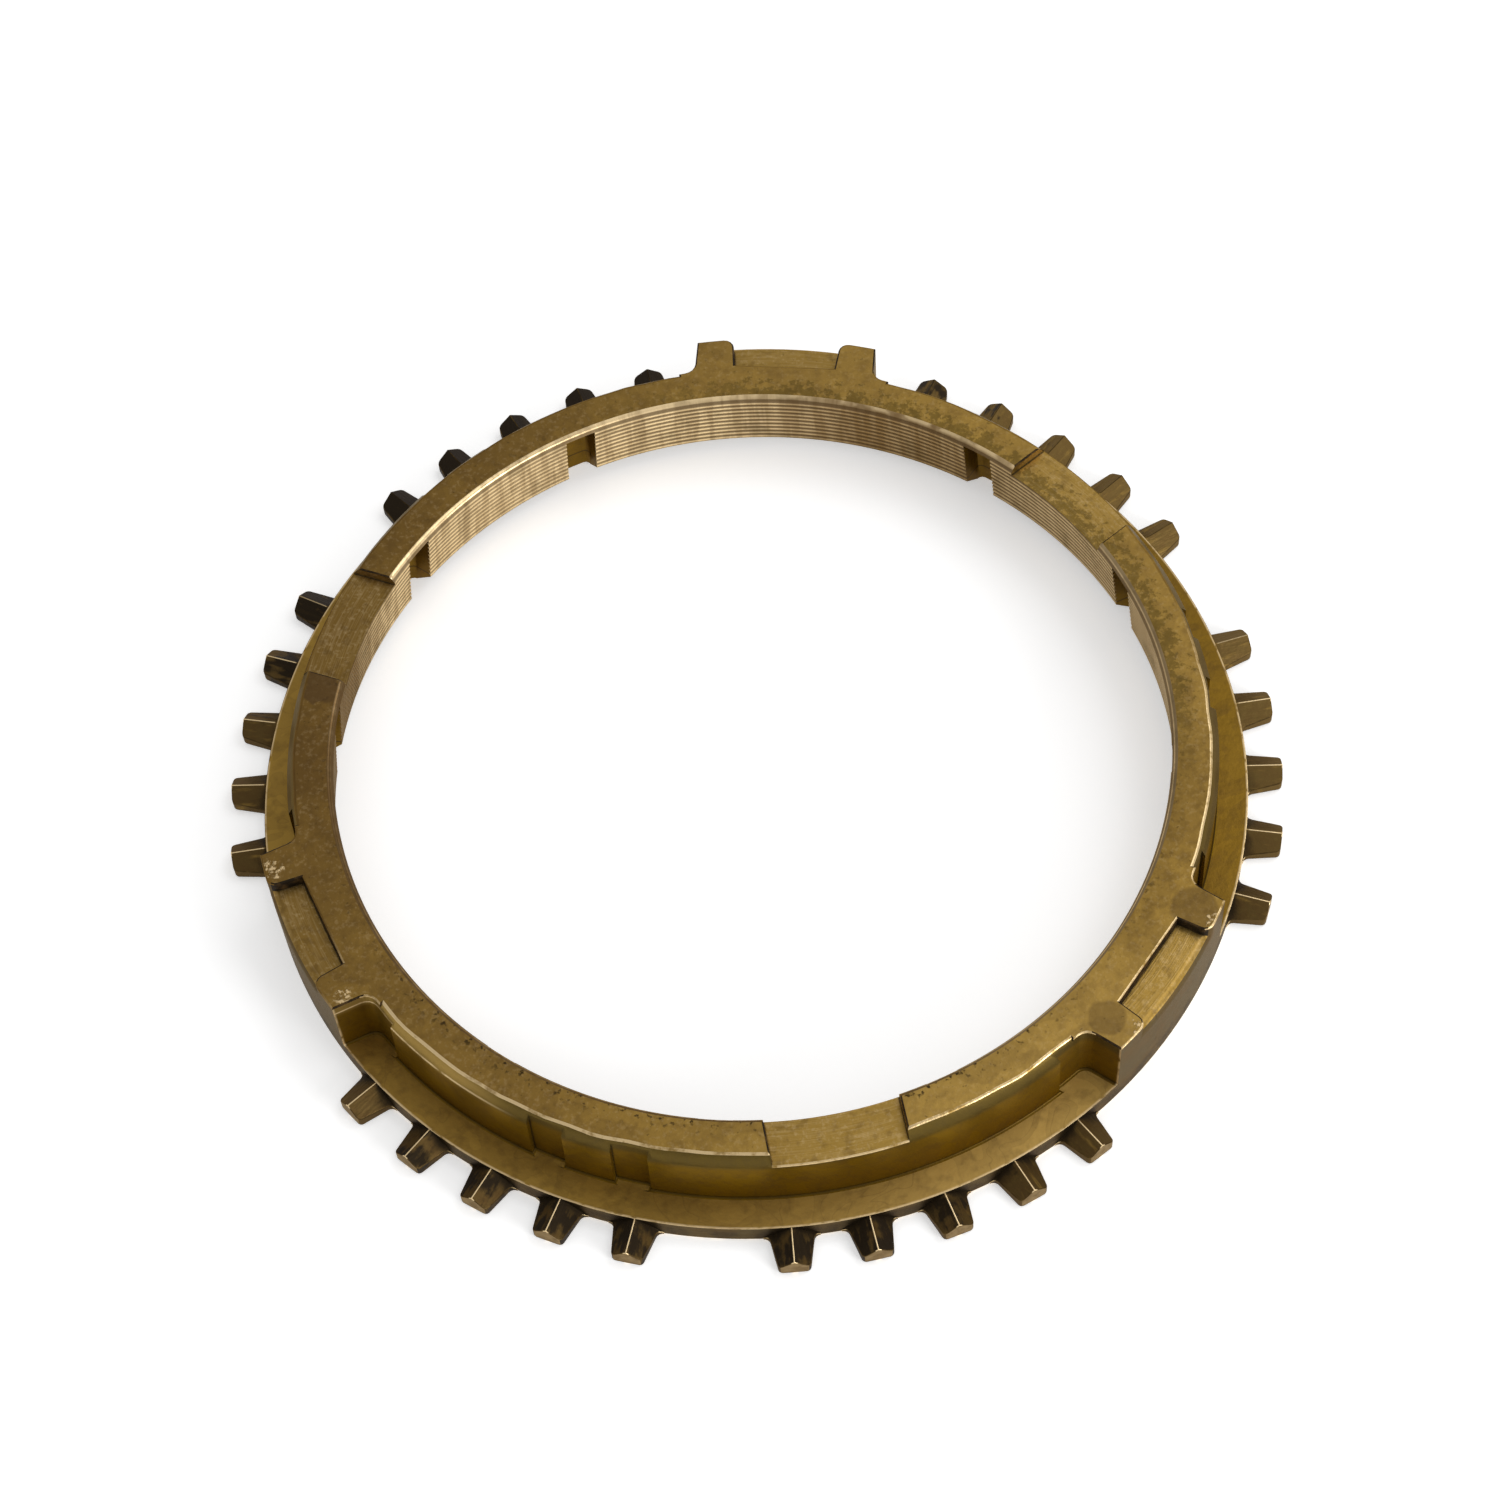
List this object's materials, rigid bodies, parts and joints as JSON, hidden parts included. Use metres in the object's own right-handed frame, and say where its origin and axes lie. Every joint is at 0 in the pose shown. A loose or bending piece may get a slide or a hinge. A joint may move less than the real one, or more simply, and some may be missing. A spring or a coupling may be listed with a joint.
{
  "type": "synchronizer ring",
  "caption": "Brass gearbox ring with a threaded friction cone inside, pointed dog teeth around the flange, and raised lugs, oil slots and axial oil grooves.",
  "frame": {"origin": "on the ring's axis, in the plane of its flat gear side", "axes": "+Z along the ring's axis from the gear side to the top face, +Y through the middle of a lug, +X completes the right-handed frame"},
  "size_m": [0.088, 0.0861, 0.0083],
  "materials": {
    "aged_brass": "used brass, turned faces worn bright, forged faces dull and oil stained"
  },
  "bodies": {
    "root": {"synchronizer_ring": "aged_brass"}
  },
  "joints": []
}
